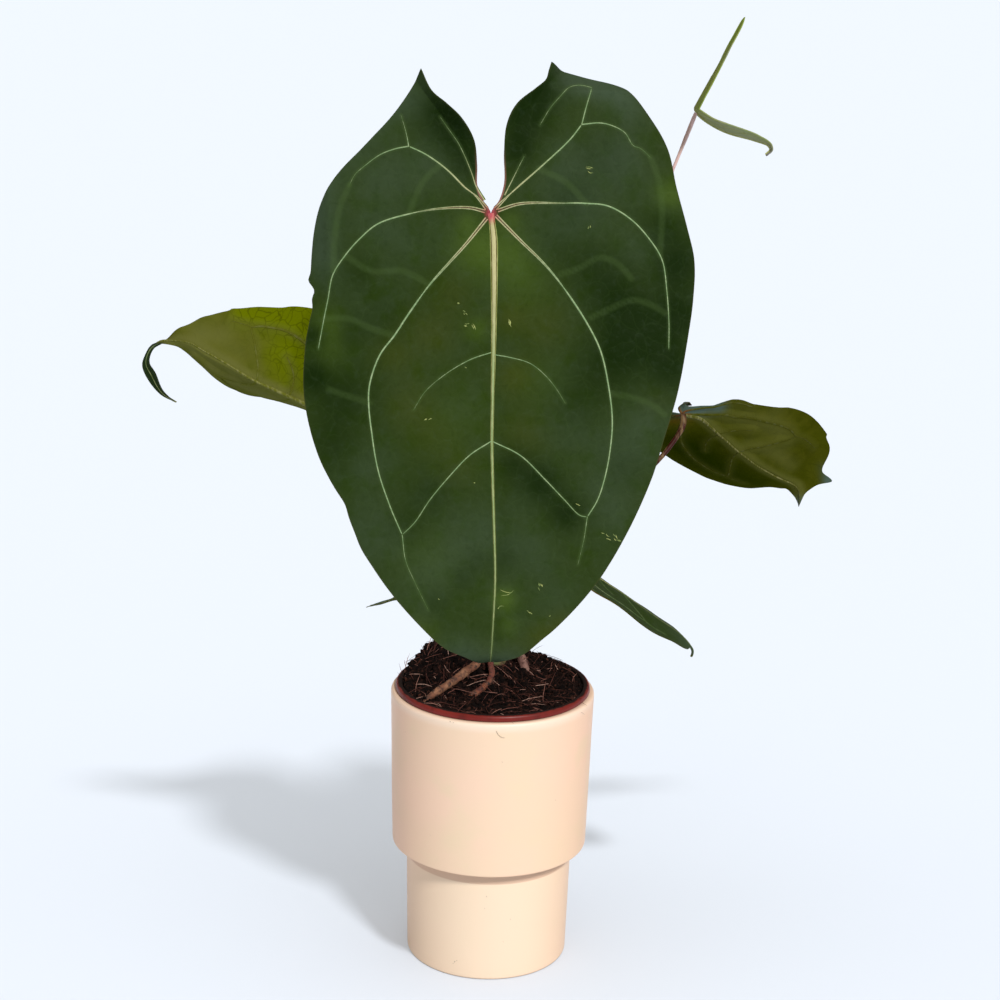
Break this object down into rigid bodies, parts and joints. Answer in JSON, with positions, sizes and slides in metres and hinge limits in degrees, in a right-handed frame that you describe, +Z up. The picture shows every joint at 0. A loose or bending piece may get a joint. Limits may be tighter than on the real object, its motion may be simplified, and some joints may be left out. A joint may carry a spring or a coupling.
{
  "type": "potted anthurium papillilaminum",
  "caption": "Velvety heart-leaved anthurium with pale veins and curled drip tips, in a plastic nursery pot hung inside a two-tier cream ceramic pot.",
  "frame": {"origin": "centre of the cream pot's flat foot", "axes": "+Z up, -Y towards the face of the large leaf, +X to the right as seen from there"},
  "size_m": [0.4459, 0.1967, 0.5818],
  "materials": {
    "cream_ceramic": "matte glaze",
    "clay_red_plastic": "satin",
    "potting_mix": "rough, damp",
    "stem": "rough",
    "aerial_root": "rough",
    "petiole": "satin",
    "leaf_blade": "velvet above, satin below"
  },
  "bodies": {
    "root": {"cachepot": "cream_ceramic", "nursery_pot": "clay_red_plastic", "potting_mix": "potting_mix", "stem": "stem", "aerial_root_left": "aerial_root", "aerial_root_front": "aerial_root", "aerial_root_right": "aerial_root", "aerial_root_back": "aerial_root", "petiole_front": "petiole", "petiole_left": "petiole", "petiole_right": "petiole", "petiole_top": "petiole", "petiole_low_right": "petiole", "petiole_low_left": "petiole", "blade_front": "leaf_blade", "blade_left": "leaf_blade", "blade_right": "leaf_blade", "blade_top": "leaf_blade", "blade_low_right": "leaf_blade", "blade_low_left": "leaf_blade"}
  },
  "joints": []
}
